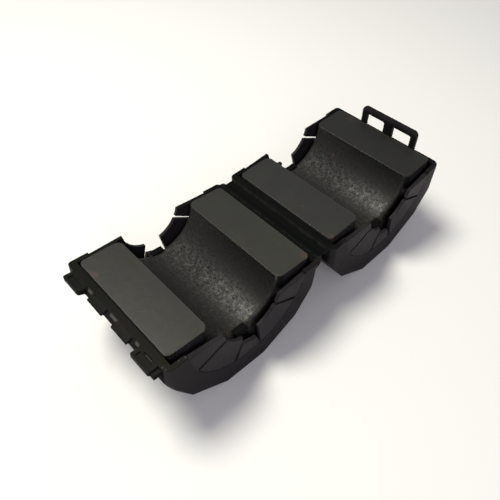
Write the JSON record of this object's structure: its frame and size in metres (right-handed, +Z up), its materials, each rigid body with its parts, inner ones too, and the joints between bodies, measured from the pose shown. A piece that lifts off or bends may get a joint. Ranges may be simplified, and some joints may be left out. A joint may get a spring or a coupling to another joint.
{
  "type": "clip-on ferrite bead",
  "caption": "Hinged clip-on cable clamp with a split ferrite sleeve in a twelve-sided plastic case, flexible cable fingers and a two-window latch loop, lying open.",
  "frame": {"origin": "bottom centre of the whole open part's box", "axes": "+Y along both bores, the hinge axis and the cable; +X from the catch half to the loop half; +Z up, out of the open bores"},
  "size_m": [0.1216, 0.0464, 0.0353],
  "materials": {
    "case": "satin black moulded nylon",
    "latch": "satin black moulded nylon",
    "hinge_web": "satin black moulded nylon, thin and a little dusty",
    "ferrite": "ground grey sintered ferrite, matte faces, mottled bore"
  },
  "bodies": {
    "catch_half": {"catch_shell": "case", "catch_ferrite": "ferrite", "living_hinge": "hinge_web"},
    "loop_half": {"loop_shell": "case", "loop_ferrite": "ferrite"},
    "latch": {"latch_loop": "latch"}
  },
  "joints": [
    {"name": "main_hinge", "type": "hinge", "parent": "catch_half", "child": "loop_half", "pos_m": [0.00037, 0, 0.02677], "axis": [0, -1, 0], "range_deg": [0, 173.16], "deforming": ["living_hinge"]},
    {"name": "latch_flex", "type": "hinge", "parent": "loop_half", "child": "latch", "pos_m": [0.06062, 0, 0.02436], "axis": [0, 1, 0], "range_deg": [0, 10], "stiffness_Nm_per_rad": 0.9}
  ]
}
